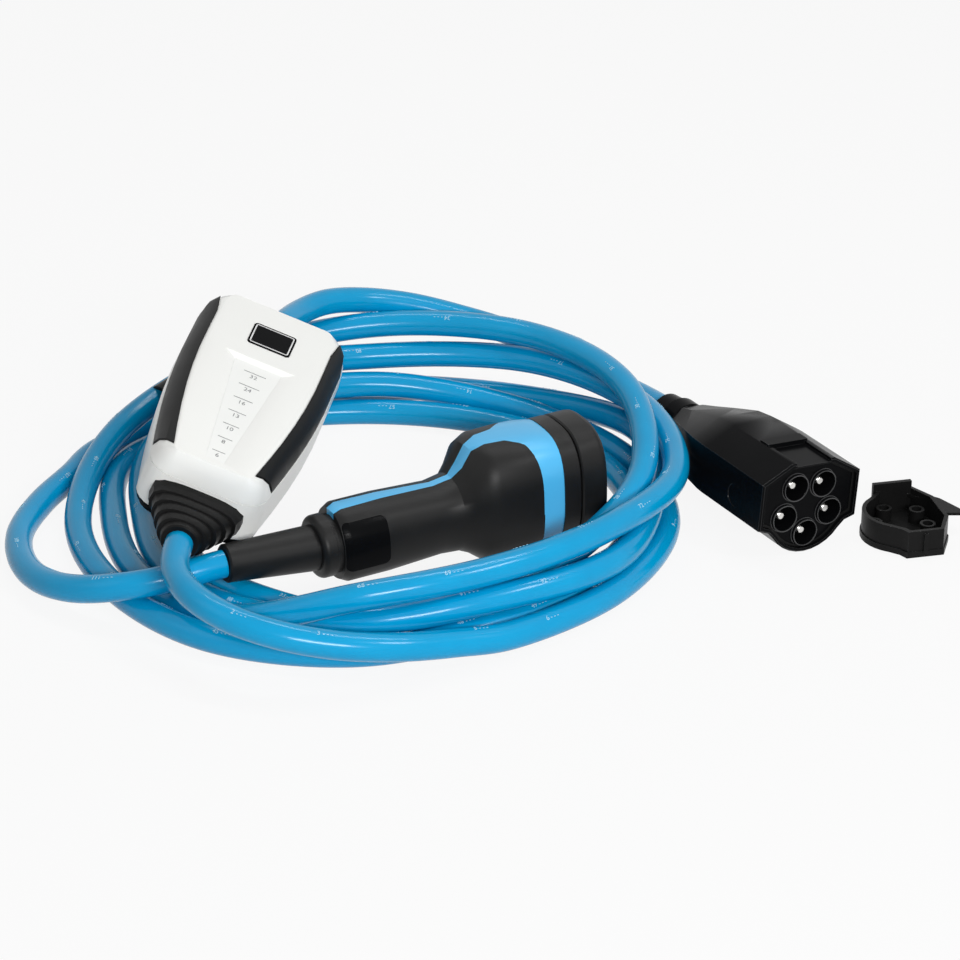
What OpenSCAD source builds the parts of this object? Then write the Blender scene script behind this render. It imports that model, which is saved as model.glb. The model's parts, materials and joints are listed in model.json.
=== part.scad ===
// Portable vehicle charger: a control box, a vehicle connector and a five-pin
// supply connector joined by two cords, laid out with the long cord in a coil.
// Millimetres, +Z up, origin on the floor under the middle of the rigid pieces.

/* [Control box] */
// Length of the housing without its boots
box_l = 196; // [190:1:204]
// Width of the housing at its widest place
box_w = 103; // [98:1:108]
// Width of the housing at its lower end
box_foot_w = 74; // [70:1:82]
// Thickness of the housing from back to front
box_t = 50; // [46:1:56]
// Thickness of the housing walls
box_wall = 3; // [2.4:0.1:3.6]
// Radius of the lower corners
foot_r = 18; // [15:1:22]
// Radius of the upper corners
head_r = 22; // [19:1:26]
// Depth of the black rear shell
rear_depth = 5; // [4.5:0.5:7]
// Depth of the front cover
cover_depth = 18; // [16:0.5:20]
// Depth of the tapered display recess
recess_depth = 2.6; // [2:0.1:3.4]
// Width of the display recess at its upper end
recess_head_w = 32; // [28:1:38]
// Width of the display recess at its lower end
recess_foot_w = 12; // [10:1:16]
// Width of the grip inlays
grip_w = 10.5; // [9:0.5:13]
// How far the grip inlays stand proud
grip_proud = 0.8; // [0.4:0.1:1.5]
// Width of the badge plate
badge_w = 29; // [24:1:32]
// Height of the badge plate
badge_h = 24; // [18:1:26]

/* [Boots] */
// Length of the ribbed boot on the vehicle side
boot_l = 40; // [34:1:48]
// Width of that boot where it leaves the housing
boot_w = 60; // [52:1:62]
// Height of that boot where it leaves the housing
boot_h = 23; // [20:0.5:24]
// Number of ribs on that boot
boot_ribs = 4; // [3:1:6]
// Length of the gland on the supply side
gland_l = 22; // [18:1:30]
// Diameter of that gland where it leaves the housing
gland_d = 25; // [23:0.5:26]

/* [Cords] */
// Diameter of both cords
cord_d = 17.5; // [15:0.5:18]

/* [Vehicle connector] */
// Length of the tapered sleeve behind the handle
sleeve_l = 59; // [52:1:66]
// Diameter of the sleeve at its free end
sleeve_d = 24; // [22:0.5:26]
// Diameter of the clamp nut at the back of the handle
nut_d = 40; // [36:0.5:42]
// Length of the handle from the clamp nut to the head
handle_l = 82; // [76:1:90]
// Height of the handle
handle_h = 50; // [45:1:54]
// Width of the handle
handle_w = 46; // [42:1:50]
// Length of the flare and the head up to the front collar
head_l = 65; // [60:1:72]
// Height of the head
head_h = 79; // [76:0.5:79]
// Width of the head
head_w = 66; // [60:1:72]
// Width of the blue spine between the grips on the handle
spine_w = 8; // [6:0.5:12]
// Thickness of the side grips
side_grip_t = 2.4; // [1.8:0.1:3.2]
// Diameter of the mating nose
nose_d = 54; // [50:1:56]
// Length of the mating nose
nose_l = 14; // [12:0.5:15]
// Length of the dust cap
cap_l = 19; // [18:0.5:24]

/* [Supply connector] */
// Width of the faceted shell across its side walls
shell_w = 74; // [70:1:78]
// Height of the shell above its axis
shell_top = 32; // [30:0.5:35]
// Radius of the rounded lip below the axis
lip_r = 30.5; // [29:0.5:33]
// Length of the faceted shell behind its face
shell_l = 72; // [64:1:84]
// Length of the taper behind the shell
taper_l = 68; // [60:1:80]
// Wall of the shell
shell_wall = 2.8; // [2.4:0.1:3.4]
// Pitch circle diameter of the pins
pin_pcd = 35.5; // [34:0.5:36.5]
// Diameter of one pin
pin_d = 6; // [5:0.5:7]
// Diameter of one pin socket
socket_d = 16.4; // [15:0.2:17]
// Depth of one pin socket
socket_depth = 30; // [24:1:36]
// How far the pin tips stay behind the face
pin_setback = 6; // [3:0.5:10]

/* [Loose cap] */
// How much smaller the cap is all round than the face of the supply connector
lid_in = 5.5; // [4:0.5:7]
// Height of the cap wall
lid_h = 18; // [15:1:22]
// Wall of the cap
lid_wall = 2.5; // [2:0.1:3]

/* [Hidden] */
$fn = 64;
cover_z = box_t / 2 - cover_depth;
rear_z = rear_depth - box_t / 2;
boot_z = (cover_z + rear_z) / 2;
pocket_fit = 0.15;
cord_r = cord_d / 2;

// Middle of the rigid pieces, taken off every place below
middle = [43.7, -65.1, 0];

// Where each assembly lies and how it is turned
box_at = [-171.5, -153, 62];
box_turn = [7.5, 21, -8];
connector_at = [-155.4, -183.2, 28.3];
connector_turn = [0, -1.5, 27.4];
supply_at = [207, -102.5, lip_r];
supply_turn = [-4.5, 0, -60.5];
lid_at = [268, -80, 0];
lid_turn = [0, 0, -77];
coil_at = [-70, -80];

// Placing

module laid(at, turn) {
    translate(at - middle) rotate(turn) children();
}

function about_x(a, p) = [p[0], p[1] * cos(a) - p[2] * sin(a), p[1] * sin(a) + p[2] * cos(a)];
function about_y(a, p) = [p[0] * cos(a) + p[2] * sin(a), p[1], p[2] * cos(a) - p[0] * sin(a)];
function about_z(a, p) = [p[0] * cos(a) - p[1] * sin(a), p[0] * sin(a) + p[1] * cos(a), p[2]];
function turned(turn, p) = about_z(turn[2], about_y(turn[1], about_x(turn[0], p)));

function on_box(p) = box_at + turned(box_turn, p);
function on_connector(p) = connector_at + turned(connector_turn, p);
function on_supply(p) = supply_at + turned(supply_turn, p);

// A solid skinned over a list of closed rings with the same number of points
module skin(rings) {
    n = len(rings[0]);
    last = len(rings) - 1;
    sides = [for (i = [0:last - 1], k = [0:n - 1]) let (m = (k + 1) % n)
        each [[i * n + k, (i + 1) * n + k, (i + 1) * n + m], [i * n + k, (i + 1) * n + m, i * n + m]]];
    caps = [[for (k = [0:n - 1]) k], [for (k = [n - 1:-1:0]) last * n + k]];
    polyhedron(points = [for (ring = rings) each ring], faces = concat(caps, sides), convexity = 6);
}

// Radius of a rounded oval of half width w and half height h, towards angle a
function oval_r(w, h, p, a) = pow(pow(abs(cos(a)) / w, p) + pow(abs(sin(a)) / h, p), -1 / p);

// An oval ring that stands across the X axis
function oval_x(x, w, h, z, p, n) = [for (i = [0:n - 1]) let (a = 360 * i / n, r = oval_r(w, h, p, a))
    [x, r * cos(a), z + r * sin(a)]];

// The same ring across the Y axis, listed so that a skin along -Y faces outwards
function oval_y(y, w, h, z, p, n) = [for (i = [0:n - 1]) let (a = 360 * i / n, r = oval_r(w, h, p, a))
    [r * cos(a), y, z + r * sin(a)]];

// Control box: X across, Y up its length from the lower end, Z towards the front

flank = 0.68;
function half_w(y) =
    box_foot_w / 2 + (box_w - box_foot_w) / 2 * sin(90 * min(1, max(0, y / (flank * box_l))));

// Shares of a level's inset that the lower and the upper end are spared
foot_keep = 0.72;
head_keep = 0.5;

function box_ring(z, level, grow) =
    let (inset = level - grow, head_y = box_l - head_r,
         foot_x = half_w(foot_r) - foot_r, head_x = half_w(head_y) - head_r,
         foot_c = foot_r - foot_keep * level, head_c = head_y + head_keep * level,
         foot = foot_r - inset, head = head_r - inset,
         side = [for (k = [1:5]) foot_r + (head_y - foot_r) * k / 6])
    concat([for (a = [-90:15:0]) [foot_x + foot * cos(a), foot_c + foot * sin(a), z]],
        [for (y = side) [half_w(y) - inset, y, z]],
        [for (a = [0:15:90]) [head_x + head * cos(a), head_c + head * sin(a), z]],
        [for (a = [90:15:180]) [head * cos(a) - head_x, head_c + head * sin(a), z]],
        [for (k = [4:-1:0]) [inset - half_w(side[k]), side[k], z]],
        [for (a = [180:15:270]) [foot * cos(a) - foot_x, foot_c + foot * sin(a), z]]);

// Inset of the outline at levels from the back to the front
levels = [[-1, 3.5], [-0.92, 1.2], [-0.8, 0.2], [-0.1, 0], [0.36, 1.4], [0.66, 4.6], [0.86, 9], [1, 15]];

module box_form(grow) {
    skin([for (level = levels) box_ring(level[0] * (box_t / 2 + grow), level[1], grow)]);
}

module slab(z0, z1) {
    translate([-box_w, -box_l, z0]) cube([2 * box_w, 3 * box_l, z1 - z0]);
}

recess_foot_y = 12;
recess_head_y = 0.63 * box_l;

module recess_plan(side, end) {
    foot = recess_foot_w / 2 + side;
    head = recess_head_w / 2 + side;
    polygon([[-foot, recess_foot_y - end], [foot, recess_foot_y - end],
        [head, recess_head_y + end], [-head, recess_head_y + end]]);
}

window_t = 2;
window_fit = 0.05;
window_z = box_t / 2 - recess_depth - window_t;
recess_flare = 8;
recess_end_flare = 3;
skim = 0.02;

module display_recess() {
    hull() {
        translate([0, 0, box_t / 2 - recess_depth]) linear_extrude(skim) recess_plan(0, 0);
        translate([0, 0, box_t / 2]) linear_extrude(skim) recess_plan(recess_flare, recess_end_flare);
    }
}

// A strip along one flank, seen from the front
grip_foot_y = 10;
grip_head_in = 9;
grip_head_y = box_l - grip_head_in;
grip_edge = 1.4;
grip_slant = 11;
grip_steps = 8;

module grip_plan(side, grow) {
    function row(k, foot_y) = foot_y - grow + (grip_head_y - foot_y + 2 * grow) * k / grip_steps;
    function edge_x(y) = y > box_l - head_r
        ? half_w(box_l - head_r) - head_r + sqrt(max(4, pow(head_r, 2) - pow(y - box_l + head_r, 2)))
        : half_w(y);
    function taper(y) = grip_w * min(1, 0.25 + (grip_head_y + 2 - y) / 26);
    outer = [for (k = [0:grip_steps]) let (y = row(k, grip_foot_y + grip_slant))
        [side * (edge_x(y) - grip_edge + grow), y]];
    inner = [for (k = [grip_steps:-1:0]) let (y = row(k, grip_foot_y))
        [side * (edge_x(y) - grip_edge - taper(y) - grow), y]];
    polygon(concat(outer, inner));
}

grip_seat = 1.5;

module grip_inlay(side) {
    intersection() {
        difference() {
            box_form(grip_proud);
            box_form(-grip_seat);
        }
        translate([0, 0, cover_z + 1]) linear_extrude(box_t) grip_plan(side, 0);
    }
}

module grip_seats() {
    for (side = [-1, 1]) difference() {
        translate([0, 0, cover_z + 1 - pocket_fit]) linear_extrude(box_t) grip_plan(side, pocket_fit);
        box_form(-grip_seat);
    }
}

badge_inset = 42;
badge_x = 0.8;
badge_y = box_l - badge_inset;
badge_r = 2.5;
seam = 0.7;
badge_t = 1.4;
badge_seat = 0.8;

module rounded_plan(w, h, r) {
    square([w - 2 * r, h], center = true);
    square([w, h - 2 * r], center = true);
    for (x = [-1, 1], y = [-1, 1]) translate([x * (w / 2 - r), y * (h / 2 - r)]) circle(r);
}

module front_cover() {
    color("whitesmoke") laid(box_at, box_turn) difference() {
        intersection() {
            box_form(0);
            slab(cover_z, box_t);
        }
        box_form(-box_wall);
        display_recess();
        translate([0, 0, window_z - window_t]) linear_extrude(box_t) recess_plan(window_fit, window_fit);
        grip_seats();
        translate([badge_x, badge_y, box_t / 2 - badge_seat]) linear_extrude(box_t)
            rounded_plan(badge_w + 2 * pocket_fit, badge_h + 2 * pocket_fit, badge_r);
        difference() {
            slab(cover_z - seam, cover_z + seam);
            box_form(-seam);
        }
    }
}

module left_grip() {
    color("dimgray") laid(box_at, box_turn) grip_inlay(-1);
}

module right_grip() {
    color("dimgray") laid(box_at, box_turn) grip_inlay(1);
}

module badge_plate() {
    color("black") laid(box_at, box_turn) translate([badge_x, badge_y, box_t / 2 - badge_seat])
        linear_extrude(badge_t) rounded_plan(badge_w, badge_h, badge_r);
}

module display_window() {
    color("gainsboro") laid(box_at, box_turn) translate([0, 0, window_z])
        linear_extrude(window_t) recess_plan(0, 0);
}

// Screws from the back, one boss each
screw_rows = [34, 0.52 * box_l, box_l - 40];
boss_r = 4;
screw_r = 1.5;
screw_head_r = 2.8;
screw_fit = 0.15;
screw_head_seat = 3;

module at_screws() {
    for (y = screw_rows, side = [-1, 1]) translate([side * (half_w(y) - box_wall - boss_r + 0.6), y, 0])
        children();
}

module boot_way(grow) {
    skin([for (y = [box_wall + 12, -12]) oval_y(y, boot_w / 2 + grow, boot_h / 2 + grow, boot_z, 3.2, 32)]);
}

module housing_frame() {
    color("whitesmoke") laid(box_at, box_turn) difference() {
        union() {
            difference() {
                intersection() {
                    box_form(0);
                    slab(rear_z, cover_z);
                }
                box_form(-box_wall);
            }
            intersection() {
                at_screws() translate([0, 0, rear_z]) cylinder(r = boss_r, h = cover_z - rear_z);
                box_form(-1);
            }
        }
        at_screws() translate([0, 0, rear_z - 1]) cylinder(r = screw_r + screw_fit, h = 14);
        boot_way(pocket_fit);
        translate([0, box_l + 12, boot_z]) rotate([90, 0, 0]) cylinder(d = gland_d + 2 * pocket_fit, h = 30);
        translate([0, 0, rear_z]) gasket_ring(gasket_h / 2, gasket_fit);
    }
}

gasket_h = 1.2;
gasket_fit = 0.05;
gasket_in = 1.2;
gasket_w = 1.1;

module gasket_ring(h, grow) {
    translate([0, 0, -h]) linear_extrude(2 * h) difference() {
        polygon([for (p = box_ring(0, 0, grow - gasket_in)) [p[0], p[1]]]);
        polygon([for (p = box_ring(0, 0, -gasket_in - gasket_w - grow)) [p[0], p[1]]]);
    }
}

standoff_r = 3;
board_z = -9;
board_t = 1.6;
board_w = 58;
board_foot_y = 30;
board_head_y = box_l - 32;
board_mid = (board_foot_y + board_head_y) / 2;

module at_standoffs() {
    for (x = [-1, 1], y = [board_foot_y + 6, board_head_y - 6]) translate([x * (board_w / 2 - 5), y, 0])
        children();
}

module rear_shell() {
    color("dimgray") laid(box_at, box_turn) difference() {
        union() {
            difference() {
                intersection() {
                    box_form(0);
                    slab(-box_t, rear_z);
                }
                box_form(-box_wall);
            }
            at_standoffs() translate([0, 0, box_wall - box_t / 2 - 1])
                cylinder(r = standoff_r, h = board_z - box_wall + box_t / 2 + 1);
            intersection() {
                at_screws() translate([0, 0, -box_t / 2]) cylinder(r = boss_r, h = rear_z + box_t / 2);
                box_form(0);
            }
        }
        at_screws() translate([0, 0, -box_t]) cylinder(r = screw_r + screw_fit, h = 2 * box_t);
        at_screws() translate([0, 0, -box_t])
            cylinder(r = screw_head_r + screw_fit, h = box_t / 2 + screw_head_seat);
        translate([0, 0, rear_z]) gasket_ring(gasket_h / 2, gasket_fit);
    }
}

module case_gasket() {
    color("black") laid(box_at, box_turn) translate([0, 0, rear_z]) gasket_ring(gasket_h / 2, 0);
}

module case_screws() {
    color("silver") laid(box_at, box_turn) at_screws() {
        translate([0, 0, screw_head_seat - box_t / 2 - 2]) cylinder(r = screw_head_r, h = 2);
        translate([0, 0, screw_head_seat - box_t / 2]) cylinder(r = screw_r, h = 11);
    }
}

module control_board() {
    color("darkgreen") laid(box_at, box_turn) translate([0, board_mid, board_z])
        linear_extrude(board_t) rounded_plan(board_w, board_head_y - board_foot_y, 3);
}

// What stands on the board
module on_board(x, y) {
    translate([x, y, board_z + board_t]) children();
}

module block(w, l, h, r) {
    linear_extrude(h) rounded_plan(w, l, r);
}

relay_w = 24;
relay_l = 30;
relay_h = 17;
terminal_w = 44;
terminal_l = 12;
terminal_h = 13;
terminal_in = 20;
part_gap = 1.5;
relay_y = board_head_y - terminal_in - terminal_l / 2 - part_gap - relay_l / 2;

module main_relays() {
    color("steelblue") laid(box_at, box_turn) for (x = [-1, 1])
        on_board(x * (relay_w + part_gap) / 2, relay_y) block(relay_w, relay_l, relay_h, 1.5);
}

sensor_ring_r = 9;
sensor_bar_r = 3.6;

module current_sensor() {
    color("dimgray") laid(box_at, box_turn) on_board(12, board_mid - 8)
        translate([0, 0, sensor_ring_r + sensor_bar_r]) rotate([90, 0, 0])
            rotate_extrude() translate([sensor_ring_r, 0]) circle(sensor_bar_r);
}

module supply_transformer() {
    color("goldenrod") laid(box_at, box_turn) on_board(-13, board_mid - 12) {
        block(22, 20, 6, 1);
        translate([0, 0, 6]) block(16, 24, 9, 2);
    }
}

module terminal_blocks() {
    pitch = terminal_w / 5.2;
    color("seagreen") laid(box_at, box_turn)
        for (y = [board_foot_y + terminal_in, board_head_y - terminal_in]) on_board(0, y) difference() {
            block(terminal_w, terminal_l, terminal_h, 1);
            for (k = [-2:2]) translate([k * pitch, 0, terminal_h - 5]) cylinder(r = 2.4, h = 6);
        }
}

window_rim = 1.5;

module display_board() {
    color("darkgreen") laid(box_at, box_turn) translate([0, 0, window_z - board_t])
        linear_extrude(board_t) recess_plan(-window_rim, -window_rim);
}

clamp_w = 36;
clamp_l = 9;
clamp_floor = box_wall - box_t / 2;

module cord_clamps() {
    color("silver") laid(box_at, box_turn) for (y = [box_wall + 14, box_l - box_wall - 17])
        translate([0, y, clamp_floor]) difference() {
            block(clamp_w, clamp_l, boot_z - clamp_floor + 4, 1.5);
            translate([0, clamp_l, boot_z - clamp_floor]) rotate([90, 0, 0])
                cylinder(r = cord_r - 1, h = 2 * clamp_l);
        }
}

// Share of the taper from the wide root of the boot to its mouth, with one step per rib
mouth_wall = 3.6;
boot_root = 3.5;
function boot_w_at(s) = boot_w / 2 + (cord_r + mouth_wall - boot_w / 2) * s;
function boot_h_at(s) = boot_h / 2 + (cord_r + mouth_wall - boot_h / 2) * s;
function boot_ring(y, s, swell) =
    oval_y(y, boot_w_at(s) + swell, boot_h_at(s) + swell, boot_z, 3.2 - 1.2 * s, 32);

module vehicle_boot() {
    pitch = boot_l / (boot_ribs + 1);
    color("dimgray") laid(box_at, box_turn) skin(concat(
        [boot_ring(box_wall + 8.4, 0, 1.5), boot_ring(box_wall + 4, 0, 1.5), boot_ring(box_wall + 4, 0, 0),
            boot_ring(-boot_root, 0, 0)],
        [for (k = [0:boot_ribs - 1]) let (y = -boot_root - pitch * (k + 0.35), s = (k + 0.6) / boot_ribs)
            each [boot_ring(y, s * 0.86, 0.7), boot_ring(y - pitch * 0.45, s * 0.92, 0.4),
                boot_ring(y - pitch * 0.5, s * 0.96 + 0.03, -0.7)]],
        [boot_ring(1 - boot_l, 1, 0), boot_ring(-boot_l, 1, -0.8)]));
}

module supply_boot() {
    mouth = cord_d + 2 * mouth_wall;
    color("dimgray") laid(box_at, box_turn) translate([0, box_l, boot_z]) rotate([-90, 0, 0])
        rotate_extrude() polygon([[0, -box_wall - 8], [gland_d / 2 + 2, -box_wall - 8],
            [gland_d / 2 + 2, -box_wall - 5], [gland_d / 2, -box_wall - 5], [gland_d / 2, 4],
            [gland_d / 2 - 1.2, 4], [gland_d / 2 - 1.2, 7], [gland_d / 2, 7], [gland_d / 2, 13],
            [gland_d / 2 - 1, 14], [mouth / 2, gland_l - 1], [mouth / 2 - 1, gland_l], [0, gland_l]]);
}

// Vehicle connector: X along its axis from the free end of the sleeve, Z up

nut_l = 13;
nut_x = sleeve_l;
handle_x = nut_x + nut_l;
head_x = handle_x + handle_l;
front_x = head_x + head_l;

// How far the head lies above the axis of the handle
head_rise = 6.7;

// Place along the body, half width, half height, squareness, height of the middle
body_rows = [
    [handle_x, handle_w / 2 - 2.5, handle_h / 2 - 2.5, 2.3, 0],
    [handle_x + 0.06 * handle_l, handle_w / 2, handle_h / 2, 2.3, 0],
    [handle_x + 0.4 * handle_l, handle_w / 2, handle_h / 2, 2.3, 0],
    [head_x - 0.2 * head_l, handle_w / 2 - 1.5, handle_h / 2 - 1.8, 2.3, 0],
    [head_x, handle_w / 2 - 0.5, handle_h / 2 - 0.5, 2.4, 0.1 * head_rise],
    [head_x + 0.1 * head_l, handle_w / 2 + 3.5, handle_h / 2 + 4, 2.6, 0.4 * head_rise],
    [head_x + 0.2 * head_l, head_w / 2 - 2, head_h / 2 - 3, 2.8, 0.8 * head_rise],
    [head_x + 0.33 * head_l, head_w / 2, head_h / 2 - 0.6, 3, head_rise],
    [front_x - 0.36 * head_l, head_w / 2, head_h / 2, 3, head_rise],
    [front_x - 0.14 * head_l, head_w / 2 - 0.5, head_h / 2 - 0.5, 3, head_rise],
    [front_x, head_w / 2 - 2, head_h / 2 - 2, 3, head_rise]];

body_n = 48;

module body_form(grow) {
    last = len(body_rows) - 1;
    skin([for (k = [0:last]) let (row = body_rows[k], push = k == 0 ? -grow : k == last ? grow : 0)
        oval_x(row[0] + push, row[1] + grow, row[2] + grow, row[4], row[3], body_n)]);
}

band_l = 15;
grip_front_x = front_x - band_l;
brow_l = 16;
grip_fit = 0.1;

// Half width of the blue spine along the body; it opens out where the grips end on the head
spine_rows = [
    [handle_x - 5, spine_w / 2],
    [handle_x + 0.06 * handle_l, spine_w / 2 + 1.5],
    [handle_x + 0.4 * handle_l, spine_w / 2 + 0.5],
    [head_x - 0.2 * head_l, spine_w / 2 - 1],
    [head_x, spine_w / 2 - 1],
    [head_x + 0.1 * head_l, spine_w / 2 + 1],
    [head_x + 0.2 * head_l, 0.08 * head_w],
    [head_x + 0.33 * head_l, 0.11 * head_w],
    [grip_front_x - brow_l, 0.14 * head_w],
    [grip_front_x - 0.35 * brow_l, 0.27 * head_w],
    [grip_front_x + 1, 0.55 * head_w]];

module spine_zone(grow) {
    last = len(spine_rows) - 1;
    linear_extrude(head_h) polygon(concat([for (row = spine_rows) [row[0], row[1] + grow]],
        [for (k = [last:-1:0]) [spine_rows[k][0], -spine_rows[k][1] - grow]]));
}

// From the back of the handle to the front edge of the grips, on one side or both
module grip_zone(y0, y1, grow) {
    translate([handle_x - 5, y0, -head_h]) cube([grip_front_x + grow - handle_x + 5, y1 - y0, 2 * head_h]);
}

module side_grip(side) {
    part = grip_fit / 2;
    intersection() {
        difference() {
            body_form(0);
            body_form(-side_grip_t);
            spine_zone(grip_fit);
        }
        grip_zone(side > 0 ? part : -head_w, side > 0 ? head_w : -part, 0);
    }
}

module connector_core() {
    color("lightskyblue") laid(connector_at, connector_turn) difference() {
        body_form(0);
        difference() {
            grip_zone(-head_w, head_w, grip_fit);
            body_form(-side_grip_t - grip_fit);
            spine_zone(0);
        }
    }
}

module left_side_grip() {
    color("dimgray") laid(connector_at, connector_turn) side_grip(1);
}

plate_in = 15;
plate_z = 4;
plate_seat = 0.5;
plate_x = handle_x + plate_in;
plate_w = 29;
plate_h = 31;
plate_t = 0.6;

module right_side_grip() {
    color("dimgray") laid(connector_at, connector_turn) difference() {
        side_grip(-1);
        plate_zone(grip_fit);
    }
}

module plate_zone(grow) {
    difference() {
        translate([plate_x, 0, plate_z]) rotate([90, 0, 0]) linear_extrude(head_w)
            rounded_plan(plate_w + 2 * grow, plate_h + 2 * grow, 4);
        body_form(-plate_seat - grow);
    }
}

module rating_plate() {
    color("black") laid(connector_at, connector_turn) intersection() {
        body_form(plate_t - plate_seat);
        plate_zone(0);
    }
}

module clamp_nut() {
    r = nut_d / 2;
    color("dimgray") laid(connector_at, connector_turn) rotate([90, 0, 90]) rotate_extrude()
        polygon(concat([[0, nut_x]], [for (a = [0:15:90]) [r - 4 + 4 * sin(a), nut_x + 4 - 4 * cos(a)]],
            [[r, handle_x - 4], [r - 1.2, handle_x - 3.4], [r - 1.2, handle_x], [0, handle_x]]));
}

// The sleeve bends up towards its free end
sleeve_bend = 4.5;
sleeve_end = [nut_x, 0, 0] + about_y(sleeve_bend, [-nut_x, 0, 0]);
sleeve_way = about_y(sleeve_bend, [1, 0, 0]);

module strain_sleeve() {
    mouth = sleeve_d / 2;
    root = mouth + 2.5;
    color("dimgray") laid(connector_at, connector_turn) difference() {
        translate(sleeve_end) rotate([0, sleeve_bend, 0]) rotate([90, 0, 90]) rotate_extrude()
            polygon([[0, 0], [mouth - 1, 0], [mouth, 1], [mouth, 3], [root, nut_x], [root, nut_x + 3],
                [0, nut_x + 3]]);
        translate([nut_x, -nut_d, -nut_d]) cube(2 * nut_d);
    }
}

nose_wall = 3;
nose_floor = 4;
cap_fit = 0.25;
cap_gap = 0.8;
cap_round = 5;

// Round nose with the flat top of the vehicle inlet
module nose_plan(grow) {
    intersection() {
        circle(nose_d / 2 + grow);
        translate([-nose_d, -nose_d]) square([2 * nose_d, nose_d + nose_d * 0.38 + grow]);
    }
}

module across() {
    translate([front_x, 0, head_rise]) rotate([90, 0, 90]) children();
}

collar_l = 12;
collar_w = 64;
collar_h = 76;

// A ring of the collar and the cap, seen along the axis
function cap_ring(z, inset) = [for (p = oval_x(z, collar_w / 2 - inset, collar_h / 2 - inset, 0, 2.8, body_n))
    [p[1], p[2], p[0]]];

module front_collar() {
    color("dimgray") laid(connector_at, connector_turn) across() difference() {
        union() {
            skin([cap_ring(0, 0), cap_ring(collar_l - 1, 0), cap_ring(collar_l, 1)]);
            linear_extrude(collar_l + nose_l) nose_plan(0);
        }
        translate([0, 0, nose_floor]) linear_extrude(collar_l + nose_l) nose_plan(-nose_wall);
    }
}

// Five power contacts below, two signal contacts above
power_at = [[-16, -2], [16, -2], [0, -2], [-9, -16], [9, -16]];
signal_at = [[-9, 11], [9, 11]];
power_r = 5;
signal_r = 3.4;
contact_wall = 1.2;
contact_fit = 0.05;
carrier_l = collar_l + nose_l - nose_floor - 3;

module at_places(places) {
    for (p = places) translate([p[0], p[1], 0]) children();
}

module contact_carrier() {
    color("black") laid(connector_at, connector_turn) across() translate([0, 0, nose_floor]) difference() {
        linear_extrude(carrier_l) nose_plan(-nose_wall - 0.2);
        at_places(power_at) translate([0, 0, 3]) cylinder(r = power_r + contact_fit, h = carrier_l);
        at_places(signal_at) translate([0, 0, 3]) cylinder(r = signal_r + contact_fit, h = carrier_l);
    }
}

module contact_tube(r) {
    translate([0, 0, nose_floor + 3]) difference() {
        cylinder(r = r, h = carrier_l - 6);
        translate([0, 0, 3]) cylinder(r = r - contact_wall, h = carrier_l);
    }
}

module power_contacts() {
    color("silver") laid(connector_at, connector_turn) across() at_places(power_at) contact_tube(power_r);
}

module signal_contacts() {
    color("silver") laid(connector_at, connector_turn) across() at_places(signal_at) contact_tube(signal_r);
}

module dust_cap() {
    color("dimgray") laid(connector_at, connector_turn) across() translate([0, 0, collar_l]) difference() {
        skin(concat([cap_ring(cap_gap, 1), cap_ring(cap_gap + 1, 0)],
            [for (a = [0:22.5:90])
                cap_ring(cap_gap + cap_l + cap_round * (sin(a) - 1), cap_round * (1 - cos(a)))]));
        translate([0, 0, cap_gap - 1]) linear_extrude(nose_l - cap_gap + 1 + cap_fit) nose_plan(cap_fit);
    }
}

// Supply connector: X along its axis, face at zero, Z up

carrier_t = 36;
carrier_fit = 0.1;
face_setback = 3.5;

// Length that is cut off flat to make the face
face_over = 4;

tail_gland_l = 28;
gland_back = shell_l + taper_l + tail_gland_l;
rim_w = 1;
rim_h = 2.4;
root_d = pin_d + 2;

function pin_places() = [for (k = [0:4]) [pin_pcd / 2 * sin(72 * k + 180), pin_pcd / 2 * cos(72 * k + 180)]];

wing_low = -11;
wing_drop = 11.5;

// Right half of the face outline from the lip up to the top, grown all round
function half_outline(grow) = concat(
    [for (a = [-90:11:-35]) [(lip_r + grow) * cos(a), (lip_r + grow) * sin(a)]],
    [[lip_r - 1.5 + 0.55 * grow, wing_low - 2.5 - 0.85 * grow], [shell_w / 2 + grow, wing_low - 0.9 * grow],
        [shell_w / 2 + grow, shell_top - wing_drop + 0.55 * grow], [16 + 0.3 * grow, shell_top + grow]]);
function face_outline(grow) = let (right = half_outline(grow), last = len(right) - 1)
    concat(right, [for (k = [last:-1:1]) [-right[k][0], right[k][1]]]);

// One ring of the shell, turned from the face outline into a round one by a share
function shell_ring(x, grow, share, r) = [for (p = face_outline(grow)) let (d = norm(p))
    [x, p[0] * (1 - share + share * r / d), p[1] * (1 - share + share * r / d)]];

module along() {
    rotate([90, 0, 90]) children();
}

tail_r = 17;
channel_w = 26;
channel_l = 30;
channel_depth = 2;
bar_l = 9;
bar_h = 1.2;
dimple_d = 15;
dimple_depth = 0.5;

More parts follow.
